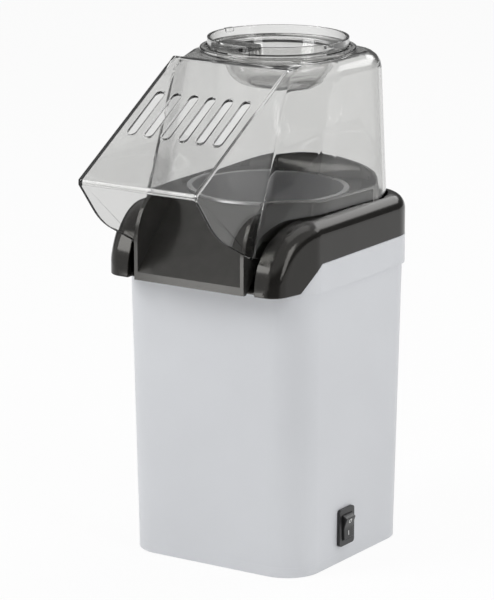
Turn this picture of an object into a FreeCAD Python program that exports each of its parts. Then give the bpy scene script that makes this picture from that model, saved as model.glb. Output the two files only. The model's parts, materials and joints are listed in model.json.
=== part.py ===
"""Hot-air popcorn maker: a tapered housing, a collar with a chute, a clear lift-off hood and its works.

Millimetres. +Z is up, the spout points to -Y, and the origin is on the table under the popping chamber.
"""
import FreeCAD, Part
import Sketcher
import math
import os
import re
from FreeCAD import Placement, Rotation, Vector

DIMENSIONS = (
    ("clearance", 0.4, "running gap between pieces that move"),
    ("body_half_bottom", 57.0, "half width of the housing at its lower edge"),
    ("body_half_top", 59.5, "half width of the housing under the ledge"),
    ("body_corner", 20.0, "corner radius of the housing"),
    ("body_wall", 2.5, "housing wall"),
    ("base_height", 5.5, "visible height of the base plate"),
    ("ledge_z", 158.0, "height of the ledge round the housing"),
    ("ledge_step", 1.5, "how far the rim stands out over the ledge"),
    ("rim_height", 16.0, "height of the rim at the sides and back"),
    ("rim_front_height", 2.5, "height of the rim at the front, under the prow"),
    ("slope_front", 4.0, "end of the rim's slope, behind the rim's front"),
    ("slope_back", 21.0, "start of the rim's slope, behind the rim's front"),
    ("boss_inset", 10.0, "corner screw bosses inside the housing's side"),
    ("boss_radius", 5.0, "corner screw boss"),
    ("boss_height", 24.5, "height of the corner screw bosses"),
    ("screw_radius", 1.5, "shank of the housing screws"),
    ("screw_head_radius", 3.0, "head of the housing screws"),
    ("screw_head", 2.0, "height of a screw head"),
    ("screw_length", 16.0, "shank length of a base screw"),
    ("base_recess", 2.5, "depth of the recess under the base plate"),
    ("base_rim", 4.0, "width of the rim that the base plate stands on"),
    ("rib_length", 40.0, "length of the ribs that centre the base plate"),
    ("rib_height", 4.0, "height of those ribs"),
    ("rib_wall", 2.0, "thickness of those ribs"),
    ("vent_count", 7.0, "air slots in the base plate"),
    ("vent_pitch", 7.0, "spacing of the air slots"),
    ("vent_width", 3.5, "width of an air slot"),
    ("vent_length", 34.0, "length of an air slot"),
    ("foot_inset", 21.0, "feet inside the base plate's side"),
    ("foot_radius", 6.0, "rubber foot"),
    ("column_inset", 19.0, "blower columns inside the blower's radius, along X and Y"),
    ("column_radius", 4.0, "blower column"),
    ("collar_height", 23.0, "height of the collar above the rim"),
    ("prow_reach", 15.0, "reach of the prow in front of the rim"),
    ("prow_taper", 6.3, "narrowing of the prow on each side"),
    ("prow_corner", 10.0, "corner radius of the prow"),
    ("prow_start", 17.0, "where the prow starts to narrow, behind the rim's front"),
    ("nose_radius", 35.0, "rounding of the collar's nose, seen from the side"),
    ("shoulder_radius", 9.0, "rounding of the collar's shoulder"),
    ("collar_wall", 2.5, "wall of the collar, seen from below"),
    ("prow_floor", 2.5, "floor of the prow"),
    ("seat_depth", 10.0, "depth of the collar's inner seat below its shoulder"),
    ("seat_width", 3.5, "width of that seat"),
    ("seat_thick", 3.0, "thickness of that seat"),
    ("groove_width", 3.0, "groove beside the spout's cheeks"),
    ("cheek_gap", 0.5, "gap between the chute and the spout's cheeks"),
    ("chute_wall", 2.2, "chute wall"),
    ("throat_gap", 3.7, "throat's wall inside the hood's outer face, at the seat"),
    ("throat_slope", 15.0, "where the throat's top starts to fall, in front of the axis"),
    ("throat_front", 54.0, "where the chute's walls rise above the deck, in front of the axis"),
    ("chute_proud", 1.5, "reach of the chute's lip in front of the prow"),
    ("chute_lip", 4.4, "height of the chute's lip band"),
    ("chute_drop", 8.0, "fall of the chute's side walls towards the front"),
    ("chute_nose", 28.0, "rounding of the chute's side walls"),
    ("throat_height", 13.0, "height of the throat above the deck"),
    ("deck_rise", 14.0, "height of the chamber's deck above the seat"),
    ("deck_thick", 2.5, "thickness of the deck and the ramp"),
    ("flange_thick", 2.7, "thickness of the chute's flange"),
    ("hood_wall", 1.8, "wall of the hood"),
    ("hood_height", 86.6, "height of the hood above its lower edge"),
    ("hood_skirt", 30.1, "how far below that edge the hood's lower plan is drawn"),
    ("hood_corner", 28.0, "back corner radius of the hood"),
    ("hood_side", 45.0, "radius where the hood's sides turn"),
    ("hood_round", 9.0, "rounding of the hood's top edge"),
    ("round_steps", 4.0, "steps in that rounding"),
    ("front_taper", 0.6, "hood's front corners, wider or narrower than the spout"),
    ("front_lean", 43.1, "lean of the hood's front"),
    ("side_lean", 4.0, "lean of the hood's sides where they turn"),
    ("turn_lean", 27.7, "lean of the line where the sides turn"),
    ("back_lean", 3.3, "lean of the hood's sides and back"),
    ("hood_reach", 3.6, "hood's lower plan in front of the prow"),
    ("side_taper", 3.3, "narrowing of the hood's sides to where they turn"),
    ("side_turn", 28.3, "where the hood's sides turn, behind the rim's front"),
    ("hood_inset", 4.7, "hood's side inside the rim, at the back"),
    ("hood_back_inset", 3.0, "hood's back inside the rim"),
    ("spout_half", 37.5, "half width of the spout"),
    ("spout_reach", 49.0, "reach of the spout's lip in front of the prow"),
    ("spout_fall", 53.0, "fall of the spout from the hood's top to its lip"),
    ("lip_height", 3.0, "height of the spout's lip edge"),
    ("cheek_reach", 30.0, "belly of the spout's cheeks in front of the prow"),
    ("cheek_rise", 17.3, "belly of the spout's cheeks above their tips"),
    ("cheek_radius", 50.0, "rounding of the spout's cheeks"),
    ("tip_inset", 3.3, "tips of the cheeks behind the prow's front"),
    ("tip_depth", 7.3, "tips of the cheeks below the seat"),
    ("tip_width", 4.0, "width of the cheeks' tips"),
    ("tip_radius", 26.0, "rounding behind the cheeks' tips"),
    ("slot_count", 6.0, "steam slots in the spout"),
    ("slot_pitch", 11.0, "spacing of the steam slots"),
    ("slot_width", 4.8, "width of a steam slot"),
    ("slot_start", 25.0, "upper end of the steam slots, in front of the hood's top edge"),
    ("slot_length", 30.0, "length of the steam slots, seen from above"),
    ("cup_y", 10.5, "place of the measuring cup behind the axis"),
    ("cup_rim_radius", 38.9, "outside of the cup's rim"),
    ("cup_rim_rise", 7.6, "height of the cup's rim above the hood"),
    ("cup_wall", 1.8, "wall of the cup"),
    ("cup_step", 6.9, "step from the cup's rim to its bowl"),
    ("cup_depth", 20.0, "depth of the cup below the hood's top"),
    ("cup_round", 14.0, "rounding of the cup's bowl"),
    ("cup_play", 1.0, "play of the cup's bowl in its hole"),
    ("neck_height", 2.2, "height of the raised ring round that hole"),
    ("neck_wall", 3.4, "width of that ring"),
    ("lug_width", 6.0, "width of the lugs on the cup's rim"),
    ("lug_depth", 1.3, "depth of those lugs"),
    ("lug_height", 2.4, "height of those lugs"),
    ("tab_chamfer", 6.0, "cut corners of the cup's grip"),
    ("tab_half", 12.5, "half width of the cup's grip"),
    ("tab_reach", 5.6, "reach of the cup's grip outside the rim"),
    ("tab_depth", 22.5, "depth of the cup's grip"),
    ("tab_drop", 3.4, "underside of the cup's grip below the rim's top"),
    ("tab_thick", 2.4, "thickness of the cup's grip"),
    ("tab_corner", 5.0, "corner of the cup's grip"),
    ("tab_turn", -13.0, "turn of the cup in its hole, degrees"),
    ("chamber_radius", 42.2, "outside of the popping chamber"),
    ("chamber_wall", 1.2, "wall of the popping chamber"),
    ("chamber_depth", 79.0, "depth of the popping chamber below its deck"),
    ("chamber_lip", 1.8, "width of the chamber's flange"),
    ("chamber_round", 6.0, "rounding at the chamber's floor"),
    ("swirl_count", 18.0, "air slots in the chamber"),
    ("swirl_rise", 9.0, "height of the air slots above the chamber's floor"),
    ("swirl_height", 12.0, "height of an air slot"),
    ("swirl_width", 1.8, "width of an air slot"),
    ("swirl_lean", 5.0, "sideways lean of an air slot"),
    ("duct_space", 4.8, "space between the chamber and the air duct"),
    ("duct_wall", 0.8, "wall of the air duct"),
    ("duct_lap", 28.0, "how far the duct reaches up over the chamber"),
    ("duct_gap", 0.6, "gap between the duct's collar and the chamber"),
    ("blower_floor", 36.0, "underside of the blower"),
    ("blower_thick", 2.5, "floor of the blower"),
    ("blower_height", 36.0, "height of the blower"),
    ("duct_flange", 3.0, "width of the duct's flange on the blower"),
    ("blower_wall", 2.0, "wall of the blower"),
    ("intake_count", 6.0, "intake openings of the blower"),
    ("intake_inner", 16.0, "inner end of an intake opening"),
    ("intake_outer", 29.0, "outer end of an intake opening"),
    ("intake_half", 5.5, "half width of an intake opening"),
    ("motor_radius", 14.0, "motor can"),
    ("motor_height", 24.0, "height of the motor can"),
    ("cap_step", 2.0, "step from the motor can to its end cap"),
    ("cap_height", 3.0, "height of the motor's end cap"),
    ("shaft_radius", 1.0, "motor shaft"),
    ("shaft_end", 2.0, "shaft's ends beyond the cap and the fan"),
    ("bearing_gap", 0.05, "radial gap in the motor's bearings"),
    ("motor_screw_at", 9.0, "place of the motor screws from the axis"),
    ("motor_screw_radius", 1.25, "shank of a motor screw"),
    ("motor_screw_length", 8.5, "shank length of a motor screw"),
    ("motor_screw_head", 2.2, "head radius of a motor screw"),
    ("fan_gap", 4.5, "gap under the fan"),
    ("fan_height", 15.0, "height of the fan"),
    ("fan_space", 10.0, "space round the fan"),
    ("fan_disc", 1.6, "thickness of the fan's disc"),
    ("fan_hub", 7.0, "hub of the fan"),
    ("blade_count", 10.0, "blades of the fan"),
    ("blade_wall", 1.4, "thickness of a fan blade"),
    ("blade_lean", 9.0, "sideways lean of a fan blade"),
    ("former_height", 32.0, "height of the heater former"),
    ("former_space", 2.0, "space between the former and the thermostat"),
    ("former_wall", 1.0, "thickness of the heater former"),
    ("former_gap", 0.1, "gap between the former and the duct"),
    ("coil_count", 4.0, "turns of the heater coil"),
    ("coil_space", 10.2, "space between the coil and the duct"),
    ("coil_wire", 1.2, "radius of the coiled wire"),
    ("coil_play", 0.3, "play of the coil in the former's holes"),
    ("coil_start", 5.0, "height of the first turn above the former's lower edge"),
    ("coil_pitch", 7.5, "spacing of the turns"),
    ("thermostat_radius", 8.0, "thermostat"),
    ("thermostat_height", 8.0, "height of the thermostat"),
    ("fuse_radius", 2.2, "thermal fuse"),
    ("fuse_length", 14.0, "length of the thermal fuse"),
    ("fuse_x", 16.0, "place of the thermal fuse"),
    ("board_space", 17.0, "space between the motor and the rectifier board"),
    ("board_half_x", 7.0, "half width of the rectifier board"),
    ("board_half_y", 11.0, "half length of the rectifier board"),
    ("board_thick", 1.6, "thickness of the rectifier board"),
    ("board_post", 4.0, "height of the posts under the board"),
    ("board_post_radius", 2.5, "post under the board"),
    ("board_post_at", 7.0, "place of the posts along Y"),
    ("diode_radius", 1.4, "diode"),
    ("diode_length", 7.0, "length of a diode"),
    ("diode_pitch", 4.5, "spacing of the diodes"),
    ("switch_y", 10.5, "place of the switch in front of the axis"),
    ("switch_z", 20.2, "height of the switch"),
    ("switch_width", 15.0, "width of the switch's bezel"),
    ("switch_height", 21.0, "height of the switch's bezel"),
    ("bezel_thick", 1.8, "thickness of the switch's bezel"),
    ("switch_body_width", 12.8, "width of the switch's body"),
    ("switch_body_height", 18.8, "height of the switch's body"),
    ("switch_body_depth", 13.0, "depth of the switch's body"),
    ("rocker_radius", 7.4, "swing radius of the rocker"),
    ("rocker_width", 9.0, "width of the rocker"),
    ("rocker_depth", 2.4, "rocker's pivot behind the bezel's face"),
    ("rocker_face", 3.4, "rocker's face in front of its pivot"),
    ("rocker_rise", 1.3, "rise of the rocker's face from its middle to its ends"),
    ("rocker_tilt", 8.0, "tilt of the rocker at rest, degrees"),
    ("rocker_pin", 1.2, "radius of the rocker's pivot pin"),
    ("pin_gap", 0.06, "radial gap round the pivot pin"),
    ("rocker_gap", 0.35, "gap round the rocker"),
    ("spade_width", 4.8, "width of a switch terminal"),
    ("spade_thick", 0.8, "thickness of a switch terminal"),
    ("spade_length", 8.0, "length of a switch terminal"),
    ("spade_pitch", 9.0, "spacing of the switch terminals"),
    ("inlet_z", 22.0, "height of the cord inlet"),
    ("inlet_radius", 5.0, "hole for the cord gland"),
    ("gland_bore", 3.3, "bore of the cord gland"),
    ("gland_flange", 7.2, "flange of the cord gland"),
    ("gland_outer", 3.0, "thickness of the gland's outer flange"),
    ("gland_inner", 4.0, "thickness of the gland's inner flange"),
)

# Places and sizes that follow from those above

FOLLOWING = {
    "rim_half": "body_half_top + ledge_step",
    "rim_corner": "body_corner + ledge_step",
    "rim_z": "ledge_z + rim_height",
    "rim_front_z": "ledge_z + rim_front_height",
    "rim_slope_front": "rim_half - slope_front",
    "rim_slope_back": "rim_half - slope_back",
    "boss_at": "body_half_bottom - boss_inset",
    "boss_top": "base_height + boss_height",
    "foot_at": "body_half_bottom - foot_inset",
    "column_at": "blower_radius - column_inset",
    "collar_top": "rim_z + collar_height",
    "prow_y": "rim_half + prow_reach",
    "prow_half": "rim_half - prow_taper",
    "prow_back": "rim_half - prow_start",
    "collar_roof": "seat_z - seat_thick",
    "seat_z": "collar_top - seat_depth",
    "mouth_half": "spout_half + groove_width",
    "chute_half": "spout_half - hood_wall - cheek_gap",
    "chute_front": "prow_y + chute_proud",
    "chute_lip_z": "rim_front_z + chute_lip",
    "chute_side_z": "throat_z - chute_drop",
    "throat_z": "deck_z + throat_height",
    "deck_z": "seat_z + deck_rise",
    "hood_top": "hood_bottom + hood_height",
    "hood_low": "hood_bottom - hood_skirt",
    "hood_bottom": "seat_z + flange_thick + clearance",
    "top_front_half": "spout_half - front_taper",
    "top_front_y": "low_front_y - front_lean",
    "top_side_half": "low_side_half - side_lean",
    "top_side_y": "low_side_y - turn_lean",
    "top_back_half": "low_back_half - back_lean",
    "top_back_y": "low_back_y - back_lean",
    "low_front_half": "spout_half + front_taper",
    "low_front_y": "prow_y + hood_reach",
    "low_side_half": "low_back_half - side_taper",
    "low_side_y": "rim_half - side_turn",
    "low_back_half": "rim_half - hood_inset",
    "low_back_y": "rim_half - hood_back_inset",
    "lip_y": "prow_y + spout_reach",
    "lip_z": "hood_top - spout_fall",
    "cheek_y": "prow_y + cheek_reach",
    "cheek_z": "tip_z + cheek_rise",
    "tip_y": "prow_y - tip_inset",
    "tip_z": "seat_z - tip_depth",
    "slot_back": "top_front_y + slot_start",
    "slot_front": "slot_back + slot_length",
    "cup_rim_top": "hood_top + cup_rim_rise",
    "cup_bowl_radius": "cup_rim_radius - cup_step",
    "cup_floor": "hood_top - cup_depth",
    "hood_hole": "cup_bowl_radius + cup_play",
    "tab_outer": "cup_rim_radius + tab_reach",
    "tab_inner": "tab_outer - tab_depth",
    "tab_z": "cup_rim_top - tab_drop",
    "chamber_floor": "deck_z - chamber_depth",
    "chamber_flange": "chamber_radius + chamber_lip",
    "swirl_z": "chamber_floor + swirl_rise",
    "duct_radius": "chamber_radius + duct_space",
    "duct_top": "chamber_floor + duct_lap",
    "blower_top": "blower_floor + blower_height",
    "blower_radius": "duct_radius + duct_flange",
    "motor_bottom": "blower_floor - motor_height",
    "cap_radius": "motor_radius - cap_step",
    "cap_bottom": "motor_bottom - cap_height",
    "shaft_bottom": "cap_bottom - shaft_end",
    "shaft_top": "fan_top + shaft_end",
    "fan_bottom": "blower_floor + blower_thick + fan_gap",
    "fan_top": "fan_bottom + fan_height",
    "fan_radius": "blower_radius - blower_wall - fan_space",
    "former_bottom": "former_top - former_height",
    "former_top": "chamber_floor - thermostat_height - former_space - fuse_radius",
    "coil_radius": "duct_radius - duct_wall - coil_space",
    "coil_hole": "coil_wire + coil_play",
    "coil_bottom": "former_bottom + coil_start",
    "board_x": "motor_radius + board_space + board_half_x",
}

ALIASES = {name for name, _, _ in DIMENSIONS}

doc = FreeCAD.newDocument("popcorn_maker")
sheet = doc.addObject("Spreadsheet::Sheet", "dim")
for row, (name, number, meaning) in enumerate(DIMENSIONS, start=1):
    sheet.set(f"A{row}", meaning)
    sheet.set(f"B{row}", str(number))
    sheet.setAlias(f"B{row}", name)
doc.recompute()

parts = []


# Values, sketches and features

def cell(text):
    """An expression on the sheet's aliases, as the document writes it."""
    def spell(word):
        if word[0] in FOLLOWING:
            return f"({cell(FOLLOWING[word[0]])})"
        return "dim." + word[0] if word[0] in ALIASES else word[0]

    return re.sub(r"[A-Za-z_]\w*", spell, text)


def value(text):
    return float(sheet.evalExpression(cell(text)))


def count(alias):
    return int(round(value(alias)))


def bind(target, **expressions):
    for prop, text in expressions.items():
        target.setExpression(prop.replace("__", "."), cell(text))


def new_part(label, kind="PartDesign::Body"):
    part = doc.addObject(kind, label)
    part.Label = label
    parts.append(part)
    return part


def sketch_on(body, name, role="XY_Plane", offset="0"):
    """An empty sketch on one of the body's own planes, raised along the plane's normal."""
    sketch = body.newObject("Sketcher::SketchObject", name)
    plane = next(f for f in body.Origin.OriginFeatures if f.Role == role)
    sketch.AttachmentSupport = [(plane, "")]
    sketch.MapMode = "FlatFace"
    bind(sketch, AttachmentOffset__Base__z=offset)
    return sketch


def fix_point(sketch, geometry, end, x, y):
    """Bind one point of a sketch to two expressions."""
    for kind, axis, text in (("DistanceX", -2, x), ("DistanceY", -1, y)):
        if text == "0":
            sketch.addConstraint(Sketcher.Constraint("PointOnObject", geometry, end, axis))
            continue
        index = sketch.addConstraint(Sketcher.Constraint(kind, geometry, end, value(text)))
        sketch.setExpression(f"Constraints[{index}]", cell(text))


def circle(sketch, x, y, radius):
    ring = Part.Circle(Vector(value(x), value(y), 0), Vector(0, 0, 1), value(radius))
    geometry = sketch.addGeometry(ring, False)
    fix_point(sketch, geometry, 3, x, y)
    index = sketch.addConstraint(Sketcher.Constraint("Radius", geometry, value(radius)))
    sketch.setExpression(f"Constraints[{index}]", cell(radius))


def corner_arc(before, corner, after, radius):
    """Tangent points, centre and turn of a rounded corner."""
    arriving = (corner - before).normalize()
    leaving = (after - corner).normalize()
    turn = math.atan2(arriving.x * leaving.y - arriving.y * leaving.x, arriving.dot(leaving))
    reach = radius * math.tan(abs(turn) / 2)
    first = corner - arriving * reach
    last = corner + leaving * reach
    side = Vector(-arriving.y, arriving.x, 0) * math.copysign(radius, turn)
    return first, last, first + side, turn


def outline(sketch, corners):
    """A closed outline. Each corner is (x, y) or (x, y, radius), as expressions."""
    total = len(corners)
    points = [Vector(value(c[0]), value(c[1]), 0) for c in corners]
    arcs = {}
    for i, corner in enumerate(corners):
        if len(corner) == 3:
            arcs[i] = corner_arc(points[i - 1], points[i], points[(i + 1) % total], value(corner[2]))
    lines = []
    for i in range(total):
        start = arcs[i][1] if i in arcs else points[i]
        follow = (i + 1) % total
        end = arcs[follow][0] if follow in arcs else points[follow]
        lines.append(sketch.addGeometry(Part.LineSegment(start, end), False))
    for i, corner in enumerate(corners):
        arriving, leaving = lines[i - 1], lines[i]
        if i not in arcs:
            sketch.addConstraint(Sketcher.Constraint("Coincident", arriving, 2, leaving, 1))
            fix_point(sketch, leaving, 1, corner[0], corner[1])
            continue
        first, last, centre, turn = arcs[i]
        ends = (first, last) if turn > 0 else (last, first)
        angles = [math.atan2(p.y - centre.y, p.x - centre.x) for p in ends]
        ring = Part.Circle(centre, Vector(0, 0, 1), value(corner[2]))
        arc = sketch.addGeometry(Part.ArcOfCircle(ring, *angles), False)
        start, stop = (1, 2) if turn > 0 else (2, 1)
        apex = sketch.addGeometry(Part.Point(points[i]), True)
        sketch.addConstraint(Sketcher.Constraint("Tangent", arriving, 2, arc, start))
        sketch.addConstraint(Sketcher.Constraint("Tangent", arc, stop, leaving, 1))
        index = sketch.addConstraint(Sketcher.Constraint("Radius", arc, value(corner[2])))
        sketch.setExpression(f"Constraints[{index}]", cell(corner[2]))
        fix_point(sketch, apex, 1, corner[0], corner[1])
        sketch.addConstraint(Sketcher.Constraint("PointOnObject", apex, 1, arriving))
        sketch.addConstraint(Sketcher.Constraint("PointOnObject", apex, 1, leaving))


def rounded_square(sketch, half, radius):
    corners = [(f"{x}({half})", f"{y}({half})", radius) for x, y in ("--", "+-", "++", "-+")]
    outline(sketch, corners)


def rectangle(sketch, x_low, x_high, y_low, y_high):
    outline(sketch, [(x_low, y_low), (x_high, y_low), (x_high, y_high), (x_low, y_high)])


def feature(body, kind, name, sketch, **settings):
    """A PartDesign feature on a sketch. Text settings are bound, the others are set."""
    made = body.newObject(f"PartDesign::{kind}", name)
    made.Profile = sketch
    for prop, setting in settings.items():
        if isinstance(setting, str):
            bind(made, **{prop: setting})
        else:
            setattr(made, prop, setting)
    return made


def pad(body, name, sketch, length, **settings):
    return feature(body, "Pad", name, sketch, Length=length, **settings)


def pocket(body, name, sketch, length, **settings):
    return feature(body, "Pocket", name, sketch, Length=length, **settings)


def loft(body, kind, name, lower, upper):
    return feature(body, kind, name, lower, Sections=[upper], Ruled=True)


def revolve(body, name, corners):
    """A solid of revolution about Z, from an outline of (radius, height) corners."""
    sketch = sketch_on(body, name + "_profile", "XZ_Plane")
    outline(sketch, corners)
    return feature(body, "Revolution", name, sketch, ReferenceAxis=(sketch, ["V_Axis"]), Angle=360.0)


def polar(body, name, base, number):
    pattern = body.newObject("PartDesign::PolarPattern", name)
    pattern.Originals = [base]
    axis = next(f for f in body.Origin.OriginFeatures if f.Role == "Z_Axis")
    pattern.Axis = (axis, [""])
    pattern.Angle = 360.0
    bind(pattern, Occurrences=number)
    body.Tip = pattern
    return pattern


def fillet(body, name, base, radius, wanted):
    """Round the edges of a feature that pass a test."""
    doc.recompute()
    names = [f"Edge{i}" for i, edge in enumerate(base.Shape.Edges, start=1) if wanted(edge)]
    made = body.newObject("PartDesign::Fillet", name)
    made.Base = (base, names)
    bind(made, Radius=radius)
    return made


def at_corners(place):
    return [(f"{x}({place})", f"{y}({place})") for x, y in ("--", "+-", "++", "-+")]


def cylinder(name, radius, low, high, x="0", y="0"):
    made = doc.addObject("Part::Cylinder", name)
    bind(made, Radius=radius, Height=f"({high}) - ({low})")
    bind(made, Placement__Base__x=x, Placement__Base__y=y, Placement__Base__z=low)
    return made


def group(label, members):
    made = new_part(label, "Part::Compound")
    made.Links = members
    return made


def screws(label, places, head_low, head_radius, shank_radius, shank_low, shank_high):
    """Identical screws as one group: a head and a shank at each place."""
    made = []
    for i, (x, y) in enumerate(places, start=1):
        screw = doc.addObject("Part::Fuse", f"{label}_{i}")
        screw.Base = cylinder(f"{label}_head_{i}", head_radius, head_low, f"({head_low}) + screw_head", x, y)
        screw.Tool = cylinder(f"{label}_shank_{i}", shank_radius, shank_low, shank_high, x, y)
        made.append(screw)
    return group(label, made)


# Housing and base

def body_half_at(height):
    """Half width of the tapered housing at a height."""
    taper = "(body_half_top - body_half_bottom) / (ledge_z - base_height)"
    return f"(body_half_bottom + {taper} * (({height}) - base_height))"


def make_housing():
    body = new_part("housing")
    shells = (("outer", "AdditiveLoft", "0"), ("inner", "SubtractiveLoft", "body_wall"))
    for side, kind, inset in shells:
        lower = sketch_on(body, f"housing_{side}_lower", offset="base_height")
        rounded_square(lower, f"body_half_bottom - {inset}", f"body_corner - {inset}")
        upper = sketch_on(body, f"housing_{side}_upper", offset="ledge_z")
        rounded_square(upper, f"body_half_top - {inset}", f"body_corner - {inset}")
        loft(body, kind, f"housing_{side}", lower, upper)
    rim = sketch_on(body, "rim_outline", offset="ledge_z")
    rounded_square(rim, "rim_half", "rim_corner")
    rounded_square(rim, "body_half_top - body_wall", "body_corner - body_wall")
    pad(body, "rim", rim, "rim_z - ledge_z")
    front = sketch_on(body, "rim_front_outline", "YZ_Plane")
    outline(front, [("-2 * rim_half", "rim_front_z"), ("-rim_slope_front", "rim_front_z"),
                    ("-rim_slope_back", "rim_z"), ("-rim_slope_back", "2 * rim_z"),
                    ("-2 * rim_half", "2 * rim_z")])
    pocket(body, "rim_front", front, "4 * rim_half", Midplane=True)
    bosses = sketch_on(body, "boss_outline", offset="base_height")
    for x, y in at_corners("boss_at"):
        circle(bosses, x, y, "boss_radius")
    pad(body, "bosses", bosses, "boss_top - base_height")
    holes = sketch_on(body, "boss_hole_outline", offset="base_height")
    for x, y in at_corners("boss_at"):
        circle(holes, x, y, "screw_radius")
    pocket(body, "boss_holes", holes, "boss_top - base_height - boss_radius", Reversed=True)
    opening = sketch_on(body, "switch_opening_outline", "YZ_Plane")
    rectangle(opening, "-switch_y - switch_body_width / 2 - bearing_gap",
              "-switch_y + switch_body_width / 2 + bearing_gap",
              "switch_z - switch_body_height / 2 - bearing_gap",
              "switch_z + switch_body_height / 2 + bearing_gap")
    pocket(body, "switch_opening", opening, "2 * rim_half", Reversed=True)
    inlet = sketch_on(body, "inlet_outline", "XZ_Plane")
    circle(inlet, "0", "inlet_z", "inlet_radius")
    pocket(body, "inlet", inlet, "2 * rim_half")


def make_base_plate():
    body = new_part("base_plate")
    plate = sketch_on(body, "plate_outline")
    rounded_square(plate, "body_half_bottom", "body_corner")
    pad(body, "plate", plate, "base_height")
    recess = sketch_on(body, "recess_outline")
    rounded_square(recess, "body_half_bottom - base_rim", "body_corner - base_rim")
    pocket(body, "recess", recess, "base_recess", Reversed=True)
    counterbores = sketch_on(body, "counterbore_outline")
    shanks = sketch_on(body, "shank_outline")
    for x, y in at_corners("boss_at"):
        circle(counterbores, x, y, "screw_head_radius + clearance")
        circle(shanks, x, y, "screw_radius")
    pocket(body, "counterbores", counterbores, "base_recess", Reversed=True)
    pocket(body, "shank_holes", shanks, "base_height", Reversed=True)
    vents = sketch_on(body, "vent_outline")
    for i in range(count("vent_count")):
        middle = f"({i} - (vent_count - 1) / 2) * vent_pitch"
        side = f"{middle} - vent_width / 2", f"{middle} + vent_width / 2"
        round_end = "vent_width * 0.45"
        outline(vents, [(side[0], "-vent_length / 2", round_end), (side[1], "-vent_length / 2", round_end),
                        (side[1], "vent_length / 2", round_end), (side[0], "vent_length / 2", round_end)])
    pocket(body, "vents", vents, "base_height", Reversed=True)
    ribs = sketch_on(body, "rib_outline", offset="base_height")
    outer = "body_half_bottom - body_wall - clearance"
    inner = f"{outer} - rib_wall"
    rectangle(ribs, "-rib_length / 2", "rib_length / 2", inner, outer)
    rectangle(ribs, "-rib_length / 2", "rib_length / 2", f"-({outer})", f"-({inner})")
    rectangle(ribs, f"-({outer})", f"-({inner})", "-rib_length / 2", "rib_length / 2")
    pad(body, "ribs", ribs, "rib_height")
    columns = sketch_on(body, "column_outline", offset="base_height")
    pilots = sketch_on(body, "pilot_outline", offset="blower_floor")
    for x, y in at_corners("column_at"):
        circle(columns, x, y, "column_radius")
        circle(pilots, x, y, "screw_radius")
    pad(body, "columns", columns, "blower_floor - base_height")
    pocket(body, "pilots", pilots, "screw_length / 2")
    posts = sketch_on(body, "post_outline", offset="base_height")
    for side in "+-":
        circle(posts, "-board_x", f"{side}board_post_at", "board_post_radius")
    pad(body, "posts", posts, "board_post")


def make_feet():
    places = at_corners("foot_at")
    group("rubber_feet", [cylinder(f"foot_{i}", "foot_radius", "0", "base_recess", x, y)
                          for i, (x, y) in enumerate(places, start=1)])


def make_screws():
    screws("base_screws", at_corners("boss_at"), "base_recess - screw_head", "screw_head_radius",
           "screw_radius", "base_recess", "base_recess + screw_length")
    blower_top = "blower_floor + blower_thick"
    screws("blower_screws", at_corners("column_at"), blower_top, "screw_head_radius",
           "screw_radius", "blower_floor - screw_length / 2", blower_top)
    screws("motor_screws", [("motor_screw_at", "0"), ("-motor_screw_at", "0")], blower_top,
           "motor_screw_head", "motor_screw_radius", f"{blower_top} - motor_screw_length", blower_top)


# Collar, chute and hood

def hood_at(name, height, inset="0"):
    """One measure of the hood's plan at a height, between its top and its lower plan."""
    share = f"((hood_top - ({height})) / (hood_top - hood_low))"
    return f"(top_{name} + (low_{name} - top_{name}) * {share} - ({inset}))"


def hood_side_at(height, distance):
    """Half width of the hood's flaring side, at a distance in front of the axis."""
    front, front_y = hood_at("front_half", height), hood_at("front_y", height)
    side, side_y = hood_at("side_half", height), hood_at("side_y", height)
    return f"({front} + ({side} - {front}) * ({front_y} - ({distance})) / ({front_y} - {side_y}))"


def hood_plan(sketch, height, inset, front_inset=None):
    """The hood's plan at a height: a straight front, flaring sides and a round back."""
    front, front_y = hood_at("front_half", height, inset), hood_at("front_y", height, front_inset or inset)
    side, side_y = hood_at("side_half", height, inset), hood_at("side_y", height)
    back, back_y = hood_at("back_half", height, inset), hood_at("back_y", height, inset)
    corner = f"hood_corner - ({inset})"
    turn = f"hood_side - ({inset})"
    outline(sketch, [(f"-{front}", f"-{front_y}"), (front, f"-{front_y}"), (side, f"-{side_y}", turn),
                     (back, back_y, corner), (f"-{back}", back_y, corner), (f"-{side}", f"-{side_y}", turn)])


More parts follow.
